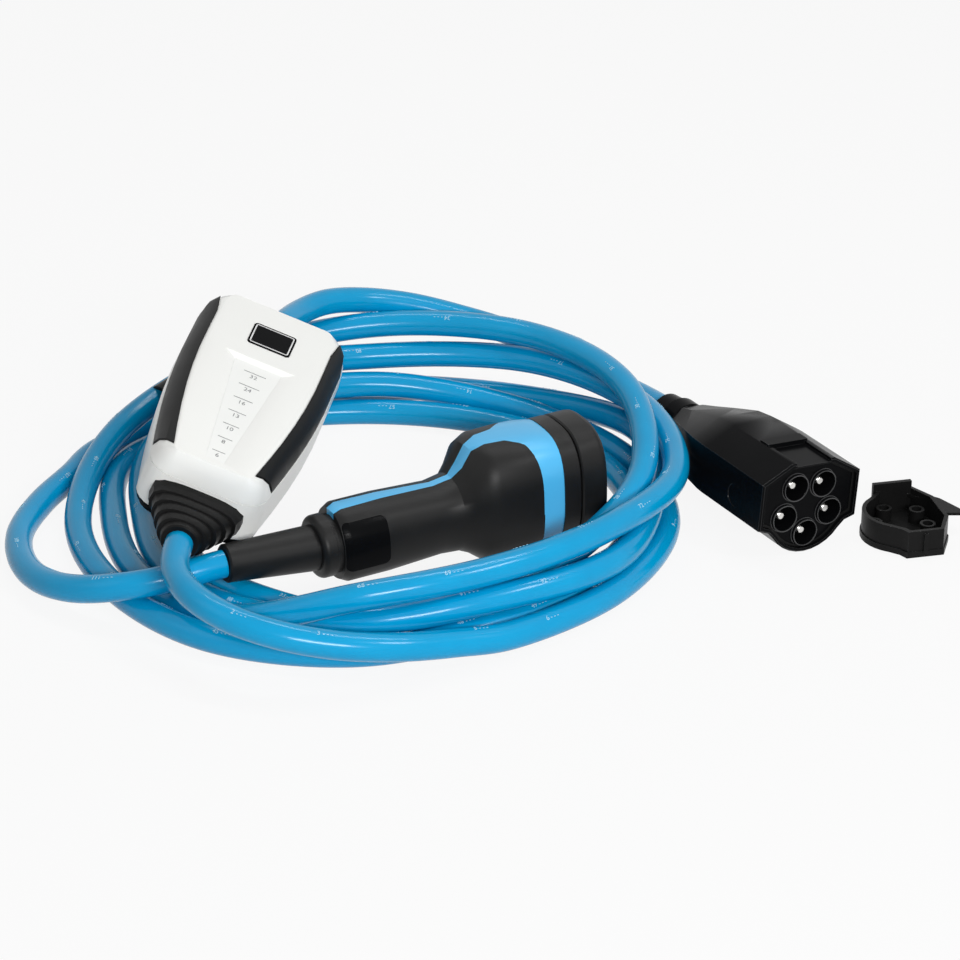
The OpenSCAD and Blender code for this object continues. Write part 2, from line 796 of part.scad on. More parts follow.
module supply_housing() {
    back = -shell_l - taper_l;
    color("dimgray") laid(supply_at, supply_turn) difference() {
        union() {
            skin([shell_ring(back, 0, 1, tail_r - 1.5), shell_ring(back + 3, 0, 1, tail_r),
                shell_ring(back + 0.22 * taper_l, 0, 0.82, tail_r + 0.5),
                shell_ring(back + 0.5 * taper_l, 0, 0.48, tail_r + 1),
                shell_ring(back + 0.8 * taper_l, 0, 0.12, tail_r + 2),
                shell_ring(-shell_l, 0, 0.02, tail_r + 4), shell_ring(-shell_l + 6, 0, 0, tail_r),
                shell_ring(-1.2, 0, 0, tail_r), shell_ring(0, -1, 0, tail_r),
                shell_ring(face_over, -1, 0, tail_r)]);
            translate([-channel_l - bar_l, -channel_w / 2 - 2, 0])
                cube([bar_l, channel_w + 4, shell_top + bar_h]);
        }
        translate([-channel_l, -channel_w / 2, shell_top - channel_depth])
            cube([channel_l + 1, channel_w, channel_depth + 1]);
        for (side = [-1, 1]) translate([-channel_l, side * shell_w / 2, 2]) rotate([90, 0, 0])
            cylinder(d = dimple_d, h = 2 * dimple_depth, center = true);
        translate([0, -shell_w, -shell_w]) cube(2 * shell_w);
        along() translate([0, 0, -carrier_t - face_setback]) linear_extrude(carrier_t + 2 * face_setback)
            polygon(face_outline(-shell_wall));
    }
}

module pin_carrier() {
    color("black") laid(supply_at, supply_turn) along() translate([0, 0, -carrier_t - face_setback])
      difference() {
        union() {
            linear_extrude(carrier_t) polygon(face_outline(-shell_wall - carrier_fit));
            at_places(pin_places()) cylinder(d = socket_d + 2 * rim_w, h = carrier_t + rim_h);
        }
        at_places(pin_places()) translate([0, 0, carrier_t - socket_depth])
            cylinder(d = socket_d, h = socket_depth + 2 * rim_h);
        at_places(pin_places()) translate([0, 0, -1]) cylinder(d = root_d, h = carrier_t);
    }
}

module supply_pins() {
    root = carrier_t - socket_depth;
    free = socket_depth + face_setback - pin_setback - 1;
    color("silver") laid(supply_at, supply_turn) along() at_places(pin_places())
        translate([0, 0, -carrier_t - face_setback]) {
            cylinder(d = root_d, h = root);
            translate([0, 0, root]) cylinder(d = pin_d, h = free);
            translate([0, 0, root + free]) cylinder(d1 = pin_d, d2 = pin_d - 2, h = 1);
        }
}

seal_w = 1.6;
seal_t = 1;

module face_seal() {
    color("black") laid(supply_at, supply_turn) along() translate([0, 0, -face_setback])
        linear_extrude(seal_t) difference() {
            polygon(face_outline(-shell_wall - carrier_fit));
            polygon(face_outline(-shell_wall - carrier_fit - seal_w));
            at_places(pin_places()) circle(d = socket_d + 2 * rim_w + 2 * carrier_fit);
        }
}

module supply_gland() {
    mouth = cord_r + mouth_wall;
    back = -gland_back;
    root = -shell_l - taper_l;
    color("dimgray") laid(supply_at, supply_turn) along() rotate_extrude()
        polygon([[0, back], [mouth - 1, back], [mouth, back + 1], [mouth + 1, root - 14],
            [mouth + 2.8, root - 12], [mouth + 2.8, root - 1], [mouth + 1.8, root], [0, root]]);
}

// Loose cap, lying open side up

post_h = 9;
post_d = 10;
post_wall = 1.6;
lid_floor = 3;
lug_t = 2;
lug_drop = 6;
flap_w = 26;
flap_h = 5;
flap_t = 3;

module lid_plan(grow) {
    polygon(face_outline(grow - lid_in));
}

module supply_cap() {
    reach = shell_w / 2 - lid_in;
    top = shell_top - lid_in;
    color("dimgray") laid(lid_at, lid_turn) {
        difference() {
            union() {
                difference() {
                    linear_extrude(lid_h) lid_plan(0);
                    translate([0, 0, lid_floor]) linear_extrude(lid_h) lid_plan(-lid_wall);
                }
                linear_extrude(lid_floor + 1) difference() {
                    lid_plan(0.8);
                    lid_plan(-lid_wall / 2);
                }
                at_places(pin_places()) cylinder(d = post_d, h = lid_floor + post_h);
            }
            at_places(pin_places()) translate([0, 0, lid_floor])
                cylinder(d = post_d - 2 * post_wall, h = lid_h);
        }
        translate([-reach, -flap_w / 2 + 4, lid_floor]) cube([flap_t, flap_w, lid_h - lid_floor + flap_h]);
        translate([0, 0, lid_h - lug_drop]) linear_extrude(lug_t)
            polygon([[-reach + 3, 14], [-16, top - 2], [-8, top - 2], [2, top - 1], [5, top + 12],
                [0, top + 14], [-18, top + 6], [-reach - 2, 18]]);
        translate([reach - 1, 4, lid_floor]) cube([2.5, 3, lid_h - lid_floor - 2]);
    }
}

// Cords: one ring of the skin at each place of the route

function unit(v) = v / norm(v);

function cord_ring(p, way, n) = let (side = unit(cross(way, [0, 0, 1])), up = cross(side, way))
    [for (k = [0:n - 1]) let (a = 360 * k / n) p + cord_r * (cos(a) * side + sin(a) * up)];

module cord(route, first_way, last_way) {
    last = len(route) - 1;
    ways = [for (i = [0:last]) i == 0 ? first_way : i == last ? last_way
        : unit(unit(route[i + 1] - route[i]) + unit(route[i] - route[i - 1]))];
    skin([for (i = [0:last]) [for (p = cord_ring(route[i] - middle, ways[i], 10)) p]]);
}

// Turns of the coil: distance from its middle and height, every 30 degrees from the front,
// round by the right, the back and the left
turn_1 = [[177, 11], [179, 9], [189, 9], [192, 9], [190, 13], [178, 25], [163, 28], [136, 16],
    [124, 9], [122, 9], [122, 9]];
turn_2 = [[132, 9], [137, 9], [147, 26], [172, 43], [191, 61], [206, 62], [200, 60], [193, 50],
    [194, 29], [186, 12], [178, 9], [178, 9]];
turn_3 = [[171, 9], [157.5, 9], [159.5, 9], [169, 9], [173, 9], [169, 9], [168, 9], [176, 9],
    [187, 9], [163, 9], [158, 9], [161, 15]];
turn_4 = [[163, 42], [157, 46], [166, 45], [193, 42.5], [204, 44], [210, 41], [190, 41], [175, 43],
    [168, 20], [143, 9], [140, 9], [143, 11]];
turn_5 = [[156, 21.5], [160, 28], [175, 27], [179, 25], [203, 26], [213, 11], [208, 9], [211, 9], [212, 9]];

function coil_point(angle, at) = [coil_at[0] + at[0] * sin(angle), coil_at[1] - at[0] * cos(angle), at[1]];

// From the boot over the front of the coil, and from its back round the left to the sleeve
box_lead = [[-181, -219, 47.5], [-169.5, -247.5, 46], [-147.5, -269, 42.5], [-118, -280, 37], [-84, -280, 30],
    [-48, -270, 23], [-14, -252, 16]];
sleeve_lead = [[-268, -12, 9], [-283, -52, 9], [-291, -95, 9], [-286, -130, 9], [-272, -160, 11],
    [-249, -184, 16.5], [-220, -197, 24], [-188, -196, 29.3]];

vehicle_route = concat([on_box([0, -boot_l, boot_z])], box_lead,
    [for (k = [0:10]) coil_point(30 * (k + 1), turn_1[k])], [for (k = [0:11]) coil_point(30 * k, turn_2[k])],
    [for (k = [0:11]) coil_point(30 * k, turn_3[k])], [for (k = [0:11]) coil_point(30 * k, turn_4[k])],
    [for (k = [0:8]) coil_point(30 * k, turn_5[k])], sleeve_lead, [on_connector(sleeve_end)]);

supply_lead = [[-121, 95, 80], [-104, 117, 78], [-80, 132, 73], [-48, 139.5, 66], [-14, 142, 56],
    [20, 141, 45], [54, 128, 34], [84, 104, 27], [107, 74, 28]];

supply_route = concat([on_box([0, box_l + gland_l, boot_z])], supply_lead, [on_supply([-gland_back, 0, 0])]);

module vehicle_cable() {
    color("deepskyblue") cord(vehicle_route, turned(box_turn, [0, -1, 0]),
        turned(connector_turn, sleeve_way));
}

module supply_cable() {
    color("deepskyblue") cord(supply_route, turned(box_turn, [0, 1, 0]), turned(supply_turn, [1, 0, 0]));
}

// Band round one strand behind the box
strap_w = 16;
strap_t = 3;
strap_fit = 0.3;
strap_share = 0.55;

module cable_strap() {
    from = coil_point(210, turn_2[7]);
    way = unit(coil_point(240, turn_2[8]) - from);
    place = from + strap_share * (coil_point(240, turn_2[8]) - from);
    color("black") laid(place, [0, acos(way[2]), atan2(way[1], way[0])]) difference() {
        translate([0, 0, -strap_w / 2]) cylinder(r = cord_r + strap_fit + strap_t, h = strap_w);
        translate([0, 0, -strap_w]) cylinder(r = cord_r + strap_fit, h = 2 * strap_w);
    }
}

front_cover();
housing_frame();
rear_shell();
left_grip();
right_grip();
badge_plate();
display_window();
case_gasket();
control_board();
display_board();
main_relays();
current_sensor();
supply_transformer();
terminal_blocks();
case_screws();
cord_clamps();
vehicle_boot();
supply_boot();
connector_core();
left_side_grip();
right_side_grip();
rating_plate();
clamp_nut();
strain_sleeve();
front_collar();
contact_carrier();
power_contacts();
signal_contacts();
dust_cap();
supply_housing();
pin_carrier();
supply_pins();
face_seal();
supply_gland();
supply_cap();
vehicle_cable();
supply_cable();
cable_strap();
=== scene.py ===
"""Looks of a portable vehicle charger: a white control box, a vehicle connector and a five-pin
supply connector on two blue cords. Metres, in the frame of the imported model."""

import bisect
import json
import math

import bmesh
import bpy
from mathutils import Euler, Matrix, Vector


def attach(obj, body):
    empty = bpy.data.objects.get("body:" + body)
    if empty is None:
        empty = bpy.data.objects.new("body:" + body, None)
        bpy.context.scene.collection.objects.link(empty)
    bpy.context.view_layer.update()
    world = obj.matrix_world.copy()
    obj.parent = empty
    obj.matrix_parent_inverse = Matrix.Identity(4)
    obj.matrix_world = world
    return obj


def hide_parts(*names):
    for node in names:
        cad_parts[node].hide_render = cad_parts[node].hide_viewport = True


MM = 0.001

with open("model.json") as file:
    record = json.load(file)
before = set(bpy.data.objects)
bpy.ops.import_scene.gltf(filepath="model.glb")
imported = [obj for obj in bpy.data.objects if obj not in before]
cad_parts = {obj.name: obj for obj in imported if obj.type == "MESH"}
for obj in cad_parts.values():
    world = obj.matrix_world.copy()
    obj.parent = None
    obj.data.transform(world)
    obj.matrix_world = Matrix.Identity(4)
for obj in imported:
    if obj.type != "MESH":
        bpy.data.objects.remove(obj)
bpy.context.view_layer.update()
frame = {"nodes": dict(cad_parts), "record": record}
nodes = frame["nodes"]


# Where the assemblies lie, in millimetres before the middle is taken off

MIDDLE = Vector((43.7, -65.1, 0))
BOX_AT, BOX_TURN = Vector((-171.5, -153, 62)), (7.5, 21, -8)
CONNECTOR_AT, CONNECTOR_TURN = Vector((-155.4, -183.2, 28.3)), (0, -1.5, 27.4)
SUPPLY_AT, SUPPLY_TURN = Vector((207, -102.5, 30.5)), (-4.5, 0, -60.5)
COIL_AT = Vector((-70, -80, 0))

BOX_L, BOX_T = 196, 50
BOOT_L, BOOT_Z, SUPPLY_BOOT_L = 40, -6.5, 22
RECESS_DEPTH = 2.6
BADGE_AT, BADGE_W, BADGE_H, BADGE_PROUD = (0.8, 154), 29, 24, 0.6
SLEEVE_L, SLEEVE_BEND = 59, 4.5
SUPPLY_BACK = 168
CORD_D = 17.5
CORD_R = CORD_D / 2


def in_frame(point):
    return (Vector(point) - MIDDLE) * MM


def lay(at, turn):
    """The matrix that takes an assembly's own millimetres to metres in the frame."""
    spin = Euler([math.radians(a) for a in turn], "XYZ").to_matrix().to_4x4()
    return Matrix.Scale(MM, 4) @ Matrix.Translation(at - MIDDLE) @ spin


ON_BOX = lay(BOX_AT, BOX_TURN)
ON_CONNECTOR = lay(CONNECTOR_AT, CONNECTOR_TURN)
ON_SUPPLY = lay(SUPPLY_AT, SUPPLY_TURN)


# Camera

def aim(thing, place, target):
    thing.location = place
    thing.rotation_euler = (Vector(target) - Vector(place)).to_track_quat("-Z", "Y").to_euler()


camera = bpy.data.objects.new("camera", bpy.data.cameras.new("camera"))
camera.data.lens = 125
camera.data.sensor_width = 36
aim(camera, in_frame((0, -1977.3, 964.4)), in_frame((0, 0, 0)))
bpy.context.scene.collection.objects.link(camera)
bpy.context.scene.camera = camera


# Shader wiring

class Wire:
    """One socket of a finish. Arithmetic on wires adds Math nodes."""

    def __init__(self, finish, socket):
        self.finish = finish
        self.socket = socket

    def maths(self, operation, first, second):
        return self.finish.node("ShaderNodeMath", {"operation": operation}, {0: first, 1: second})

    def __add__(self, other):
        return self.maths("ADD", self, other)

    def __radd__(self, other):
        return self.maths("ADD", other, self)

    def __mul__(self, other):
        return self.maths("MULTIPLY", self, other)


class Finish:
    """A material or a world whose nodes are added one call at a time."""

    def __init__(self, name, kind="materials"):
        self.owner = getattr(bpy.data, kind).new(name)
        self.owner.use_nodes = True
        self.tree = self.owner.node_tree
        self.tree.nodes.clear()

    def node(self, kind, settings=None, inputs=None, out=0):
        made = self.tree.nodes.new(kind)
        for key, value in (settings or {}).items():
            if key == "stops":
                self.set_stops(made.color_ramp, value)
            else:
                setattr(made, key, value)
        for key, value in (inputs or {}).items():
            if isinstance(value, Wire):
                self.tree.links.new(value.socket, made.inputs[key])
            else:
                made.inputs[key].default_value = value
        return Wire(self, made.outputs[out]) if made.outputs else None

    def set_stops(self, ramp, stops):
        while len(ramp.elements) < len(stops):
            ramp.elements.new(1)
        for element, (place, colour) in zip(ramp.elements, stops):
            element.position = place
            element.color = colour

    def place(self):
        return self.node("ShaderNodeTexCoord", out="Object")

    def noise(self, scale, detail=2.0, rough=0.5):
        inputs = {"Vector": self.place(), "Scale": scale, "Detail": detail, "Roughness": rough}
        return self.node("ShaderNodeTexNoise", None, inputs)

    def ramp(self, share, low, high):
        """0 below one level and 1 above another."""
        stops = [(low, grey(0)), (high, grey(1))]
        return self.node("ShaderNodeValToRGB", {"stops": stops}, {0: share})

    def between(self, share, low, high):
        """A colour between two colours."""
        return self.node("ShaderNodeMix", {"data_type": "RGBA"}, {0: share, 6: low, 7: high}, out=2)

    def bump(self, height, strength, depth):
        inputs = {"Height": height, "Strength": strength, "Distance": depth}
        return self.node("ShaderNodeBump", None, inputs)

    def seen(self):
        """1 for what the camera sees, straight or in a reflection."""
        return (self.node("ShaderNodeLightPath", out="Is Camera Ray")
                + self.node("ShaderNodeLightPath", out="Is Glossy Ray")
                + self.node("ShaderNodeLightPath", out="Is Transmission Ray"))

    def principled(self, **sockets):
        named = {key.replace("_", " "): value for key, value in sockets.items()}
        return self.node("ShaderNodeBsdfPrincipled", None, named)

    def shade(self, **sockets):
        self.node("ShaderNodeOutputMaterial", None, {"Surface": self.principled(**sockets)})
        return self.owner


def grey(value):
    return (value, value, value, 1)


# Finishes

FINE = 0.0001  # depth of a fine grain, in metres


def white_shell():
    """Satin moulded plastic with a fine grain and faint handling marks."""
    f = Finish("white_shell")
    soil = f.noise(16, 4, 0.6)
    grain = f.noise(2600, 1)
    tone = f.between(soil, (0.84, 0.845, 0.82, 1), (0.87, 0.875, 0.85, 1))
    return f.shade(Base_Color=tone, Roughness=0.28 + soil * 0.06, Normal=f.bump(grain, 0.12, FINE),
                   Coat_Weight=0.12, Coat_Roughness=0.18)


def display_film():
    """Smooth translucent-looking film over the scale."""
    f = Finish("display_film")
    cloud = f.noise(30, 3)
    tone = f.between(cloud, (0.83, 0.84, 0.82, 1), (0.87, 0.88, 0.86, 1))
    return f.shade(Base_Color=tone, Roughness=0.26 + cloud * 0.1,
                   Normal=f.bump(f.noise(1800, 1), 0.06, FINE))


def black_plastic():
    """Spark-eroded black moulding, a little worn to a shine in places."""
    f = Finish("black_plastic")
    grain = f.noise(2300, 2, 0.65)
    rub = f.noise(24, 4, 0.6)
    tone = f.between(rub, (0.0022, 0.0023, 0.0027, 1), (0.0048, 0.0050, 0.0055, 1))
    return f.shade(Base_Color=tone, Roughness=0.15 + rub * 0.12 + grain * 0.04,
                   Normal=f.bump(grain, 0.12, FINE), Specular_IOR_Level=0.03)


def painted_highlight_edge():
    """Lighter, glossier black moulding for rounded edges; its lighter colour is a painted highlight."""
    f = Finish("painted_highlight_edge")
    rub = f.noise(60, 4, 0.6)
    tone = f.between(rub, (0.010, 0.0102, 0.011, 1), (0.028, 0.0285, 0.030, 1))
    return f.shade(Base_Color=tone, Roughness=0.16 + rub * 0.14, Specular_IOR_Level=0.6)


def soft_rubber(name, low, high, rough, shine):
    """Soft-touch overmould with a pebbled skin, between two greys."""
    f = Finish(name)
    pebble = f.node("ShaderNodeTexVoronoi", {"feature": "SMOOTH_F1"},
                    {"Vector": f.place(), "Scale": 1500.0, "Smoothness": 0.6})
    dust = f.noise(40, 5, 0.65)
    return f.shade(Base_Color=f.between(dust, grey(low), grey(high)), Roughness=rough + dust * 0.16,
                   Normal=f.bump(pebble, 0.2, 0.00014), Specular_IOR_Level=shine)


def light_blue():
    """Satin blue moulding."""
    f = Finish("light_blue")
    cloud = f.noise(22, 4)
    tone = f.between(cloud, (0.05, 0.42, 0.76, 1), (0.10, 0.48, 0.82, 1))
    return f.shade(Base_Color=tone, Roughness=0.26 + cloud * 0.14,
                   Normal=f.bump(f.noise(2600, 1), 0.12, FINE))


def cord_jacket():
    """Extruded sheath: satin, slightly uneven along its length, with scuffs."""
    f = Finish("cord_jacket")
    wave = f.noise(34, 3, 0.55)
    worn = f.ramp(f.noise(260, 5, 0.7), 0.60, 0.74)
    tone = f.between(wave, (0.0, 0.265, 0.52, 1), (0.0, 0.33, 0.62, 1))
    tone = f.between(worn * 0.10, tone, (0.05, 0.47, 0.74, 1))
    height = wave * 0.7 + f.noise(1400, 2) * 0.3
    return f.shade(Base_Color=tone, Roughness=0.14 + wave * 0.10 + worn * 0.06,
                   Normal=f.bump(height, 0.12, 0.0004), Specular_IOR_Level=0.25)


def metal(name, low, high, scale, detail, rough, spread, relief):
    """Plated metal with fine drawn lines."""
    f = Finish(name)
    lines = f.noise(scale, detail, 0.6)
    return f.shade(Base_Color=f.between(lines, low, high), Metallic=1.0, Roughness=rough + lines * spread,
                   Normal=f.bump(lines, relief, FINE))


def board_green():
    """Solder mask over copper tracks."""
    f = Finish("board_green")
    inputs = {"Vector": f.place(), "Scale": 120.0, "Mortar Size": 0.06, "Mortar Smooth": 0.1}
    tracks = f.node("ShaderNodeTexBrick", {"offset": 0.5}, inputs, out="Fac")
    tone = f.between(tracks, (0.008, 0.10, 0.035, 1), (0.02, 0.19, 0.07, 1))
    return f.shade(Base_Color=tone, Roughness=0.3 + tracks * 0.1, Normal=f.bump(tracks, 0.3, FINE))


def moulded(name, low, high):
    """A moulded part inside the box."""
    f = Finish(name)
    cloud = f.noise(60, 3)
    return f.shade(Base_Color=f.between(cloud, low, high), Roughness=0.35 + cloud * 0.2,
                   Normal=f.bump(f.noise(2400, 1), 0.15, FINE))


def ink(name, low, high, rough):
    """Print that has rubbed a little thin."""
    f = Finish(name)
    rub = f.noise(900, 3, 0.7)
    return f.shade(Base_Color=f.between(rub, low, high), Roughness=rough + rub * 0.15)


FINISHES = {
    "white_shell": white_shell(),
    "display_window": display_film(),
    "black_plastic": black_plastic(),
    "black_rubber": soft_rubber("black_rubber", 0.0036, 0.0077, 0.34, 0.1),
    "light_blue": light_blue(),
    "blue_cord": cord_jacket(),
    "board_green": board_green(),
    "relay_blue": moulded("relay_blue", (0.02, 0.06, 0.16, 1), (0.04, 0.10, 0.24, 1)),
    "coil_tape": moulded("coil_tape", (0.50, 0.34, 0.02, 1), (0.68, 0.48, 0.05, 1)),
    "terminal_green": moulded("terminal_green", (0.02, 0.17, 0.07, 1), (0.04, 0.26, 0.12, 1)),
    "steel": metal("zinc_steel", (0.42, 0.42, 0.43, 1), (0.62, 0.62, 0.63, 1), 700, 3, 0.26, 0.2, 0.15),
    "plated_brass": metal("nickel", (0.62, 0.61, 0.59, 1), (0.80, 0.79, 0.77, 1), 900, 2, 0.16, 0.16, 0.08),
}
# A lighter black for rounded edges: a painted highlight
EDGE = painted_highlight_edge()
INK = ink("printed_ink", (0.10, 0.105, 0.11, 1), (0.24, 0.245, 0.25, 1), 0.45)
PALE = ink("pale_print", grey(0.57), grey(0.80), 0.4)
CORD_INK = ink("cord_print", (0.22, 0.50, 0.66, 1), (0.42, 0.66, 0.78, 1), 0.4)
HANDLE = soft_rubber("handle_rubber", 0.005, 0.0105, 0.36, 0.18)


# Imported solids: finish and softened edges

SOFT_EDGE_MM = {
    "supply_housing": 0.9, "pin_carrier": 0.5, "supply_gland": 0.5, "supply_cap": 0.4, "dust_cap": 0.4,
    "front_collar": 0.4, "clamp_nut": 0.35, "strain_sleeve": 0.4, "supply_boot": 0.4, "badge_plate": 0.3,
    "supply_pins": 0.25, "face_seal": 0.2, "cable_strap": 0.5, "main_relays": 0.4, "terminal_blocks": 0.3,
    "case_screws": 0.2, "cord_clamps": 0.3, "supply_transformer": 0.3,
}
EDGE_ANGLE = math.radians(33)
# Pieces whose rounded edges get a painted highlight, and black pieces of the vehicle connector
PAINTED_HIGHLIGHT_PIECES = {"supply_housing", "pin_carrier", "supply_cap"}
HANDLED = {"left_side_grip", "right_side_grip", "strain_sleeve", "clamp_nut", "front_collar", "dust_cap"}


def refine(solid, edge_mm):
    """Joins the loose triangles, rounds sharp edges with the last finish and shades the rest smooth.
    The solid itself stays as packed."""
    for face in solid.data.polygons:
        face.use_smooth = True
    weld = solid.modifiers.new("joined", "WELD")
    weld.merge_threshold = 0.00001
    if edge_mm:
        edge = solid.modifiers.new("edges", "BEVEL")
        edge.width = edge_mm * MM
        edge.segments = 2
        edge.limit_method = "ANGLE"
        edge.angle_limit = EDGE_ANGLE
        edge.use_clamp_overlap = True
        # The rounding takes the last finish, which on some pieces is the painted edge highlight
        edge.material = len(solid.data.materials) - 1
    split = solid.modifiers.new("creases", "EDGE_SPLIT")
    split.split_angle = EDGE_ANGLE
    split.use_edge_sharp = False
    even = solid.modifiers.new("even", "WEIGHTED_NORMAL")
    even.keep_sharp = True


for part in frame["record"]["subparts"]:
    solid = nodes[part["node"]]
    solid.data.materials.clear()
    solid.data.materials.append(HANDLE if part["node"] in HANDLED else FINISHES[part["material_slot"]])
    # Those pieces get a second, lighter finish on their rounded edges: a painted highlight
    if part["node"] in PAINTED_HIGHLIGHT_PIECES:
        solid.data.materials.append(EDGE)
    refine(solid, SOFT_EDGE_MM.get(part["node"]))


# Cords

TURN_1 = [(177, 11), (179, 9), (189, 9), (192, 9), (190, 13), (178, 25), (163, 28), (136, 16),
          (124, 9), (122, 9), (122, 9)]
TURN_2 = [(132, 9), (137, 9), (147, 26), (172, 43), (191, 61), (206, 62), (200, 60), (193, 50),
          (194, 29), (186, 12), (178, 9), (178, 9)]
TURN_3 = [(171, 9), (157.5, 9), (159.5, 9), (169, 9), (173, 9), (169, 9), (168, 9), (176, 9),
          (187, 9), (163, 9), (158, 9), (161, 15)]
TURN_4 = [(163, 42), (157, 46), (166, 45), (193, 42.5), (204, 44), (210, 41), (190, 41), (175, 43),
          (168, 20), (143, 9), (140, 9), (143, 11)]
TURN_5 = [(156, 21.5), (160, 28), (175, 27), (179, 25), (203, 26), (213, 11), (208, 9), (211, 9), (212, 9)]
BOX_LEAD = [(-181, -219, 47.5), (-169.5, -247.5, 46), (-147.5, -269, 42.5), (-118, -280, 37), (-84, -280, 30),
            (-48, -270, 23), (-14, -252, 16)]
SLEEVE_LEAD = [(-268, -12, 9), (-283, -52, 9), (-291, -95, 9), (-286, -130, 9), (-272, -160, 11),
               (-249, -184, 16.5), (-220, -197, 24), (-188, -196, 29.3)]
SUPPLY_LEAD = [(-121, 95, 80), (-104, 117, 78), (-80, 132, 73), (-48, 139.5, 66), (-14, 142, 56),
               (20, 141, 45), (54, 128, 34), (84, 104, 27), (107, 74, 28)]


def turn_points(turn, first):
    """The places of one turn, every 30 degrees from the front round by the right."""
    places = []
    for k, (reach, height) in enumerate(turn):
        angle = math.radians(30 * (k + first))
        out = Vector((reach * math.sin(angle), -reach * math.cos(angle), height))
        places.append(in_frame(COIL_AT + out))
    return places


ROUTE_STEPS = 14
ROUTE_LEAD = 0.03


def smooth_route(points, first_way, last_way):
    """A dense centripetal curve through the points, leaving and arriving along the given ways."""
    pts = [points[0] - first_way * ROUTE_LEAD, *points, points[-1] + last_way * ROUTE_LEAD]
    route = []
    for p0, p1, p2, p3 in zip(pts, pts[1:], pts[2:], pts[3:]):
        t1 = (p1 - p0).length ** 0.5
        t2 = t1 + (p2 - p1).length ** 0.5
        t3 = t2 + (p3 - p2).length ** 0.5
        for k in range(ROUTE_STEPS):
            t = t1 + (t2 - t1) * k / ROUTE_STEPS
            a1 = p0.lerp(p1, t / t1)
            a2 = p1.lerp(p2, (t - t1) / (t2 - t1))
            a3 = p2.lerp(p3, (t - t2) / (t3 - t2))
            b1 = a1.lerp(a2, t / t2)
            b2 = a2.lerp(a3, (t - t1) / (t3 - t1))
            route.append(b1.lerp(b2, (t - t1) / (t2 - t1)))
    route.append(points[-1])
    floor = CORD_R * MM
    return [Vector((p.x, p.y, max(p.z, floor))) for p in route]


def route_length(route):
    return sum((b - a).length for a, b in zip(route, route[1:]))


def make_cord(name, route, node):
    curve = bpy.data.curves.new(name, "CURVE")
    curve.dimensions = "3D"
    curve.bevel_depth = CORD_R * MM
    curve.bevel_resolution = 8
    curve.use_fill_caps = True
    spline = curve.splines.new("POLY")
    spline.points.add(len(route) - 1)
    for point, place in zip(spline.points, route):
        point.co = (*place, 1)
    spline.use_smooth = True
    cord = bpy.data.objects.new(name, curve)
    bpy.context.scene.collection.objects.link(cord)
    curve.materials.append(FINISHES["blue_cord"])
    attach(cord, "root")
    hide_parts(node)
    return cord


def way(matrix, direction):
    return (matrix.to_3x3() @ Vector(direction)).normalized()


boot_mouth = ON_BOX @ Vector((0, -BOOT_L, BOOT_Z))
sleeve_turn = Matrix.Rotation(math.radians(SLEEVE_BEND), 4, "Y")
ON_SLEEVE = ON_CONNECTOR @ Matrix.Translation((SLEEVE_L, 0, 0)) @ sleeve_turn
sleeve_mouth = ON_SLEEVE @ Vector((-SLEEVE_L, 0, 0))
supply_boot_mouth = ON_BOX @ Vector((0, BOX_L + SUPPLY_BOOT_L, BOOT_Z))
supply_mouth = ON_SUPPLY @ Vector((-SUPPLY_BACK, 0, 0))

vehicle_points = [boot_mouth, *map(in_frame, BOX_LEAD), *turn_points(TURN_1, 1), *turn_points(TURN_2, 0),
                  *turn_points(TURN_3, 0), *turn_points(TURN_4, 0), *turn_points(TURN_5, 0),
                  *map(in_frame, SLEEVE_LEAD), sleeve_mouth]
vehicle_route = smooth_route(vehicle_points, way(ON_BOX, (0, -1, 0)), way(ON_SLEEVE, (1, 0, 0)))
supply_points = [supply_boot_mouth, *map(in_frame, SUPPLY_LEAD), supply_mouth]
supply_route = smooth_route(supply_points, way(ON_BOX, (0, 1, 0)), way(ON_SUPPLY, (1, 0, 0)))

vehicle_cord = make_cord("vehicle_cord", vehicle_route, "vehicle_cable")
supply_cord = make_cord("supply_cord", supply_route, "supply_cable")


# Print on the display, the cord and the badge

def finish_piece(name, shape, matrix, material):
    """Puts a bmesh in place, with its place in the mesh, and lets it ride with the object."""
    bmesh.ops.transform(shape, matrix=matrix, verts=shape.verts)
    bmesh.ops.recalc_face_normals(shape, faces=shape.faces)
    mesh = bpy.data.meshes.new(name)
    shape.to_mesh(mesh)
    shape.free()
    mesh.materials.append(material)
    piece = bpy.data.objects.new(name, mesh)
    bpy.context.scene.collection.objects.link(piece)
    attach(piece, "root")
    return piece


PRINT_T = 0.08
SCALE_TOP, SCALE_STEP = 114.6, 15.4
SCALE_LINE_W, SCALE_LINE_TAPER, SCALE_LINE_H = 15, 1.08, 0.55
SCALE_FIGURE, SCALE_FIGURE_DROP = 5.2, 4.2
SCALE = ["32", "24", "16", "13", "10", "8", "6"]


def add_stroke(shape, width, height, at):
    """A thin printed stroke, centred at a place in the assembly's millimetres."""
    made = bmesh.ops.create_cube(shape, size=1)["verts"]
    bmesh.ops.scale(shape, vec=(width, height, PRINT_T), verts=made)
    bmesh.ops.translate(shape, vec=at, verts=made)


def figure_mesh(words, size, thick):
    """A number as a mesh, centred on the origin, in millimetres."""
    letters = bpy.data.curves.new("figure", "FONT")
    letters.body = words
    letters.size = size
    letters.align_x = "CENTER"
    letters.align_y = "CENTER"
    letters.extrude = thick / 2
    letters.resolution_u = 3
    holder = bpy.data.objects.new("figure", letters)
    bpy.context.scene.collection.objects.link(holder)
    bpy.context.view_layer.update()
    shown = holder.evaluated_get(bpy.context.evaluated_depsgraph_get())
    mesh = bpy.data.meshes.new_from_object(shown)
    bpy.data.objects.remove(holder)
    bpy.data.curves.remove(letters)
    return mesh


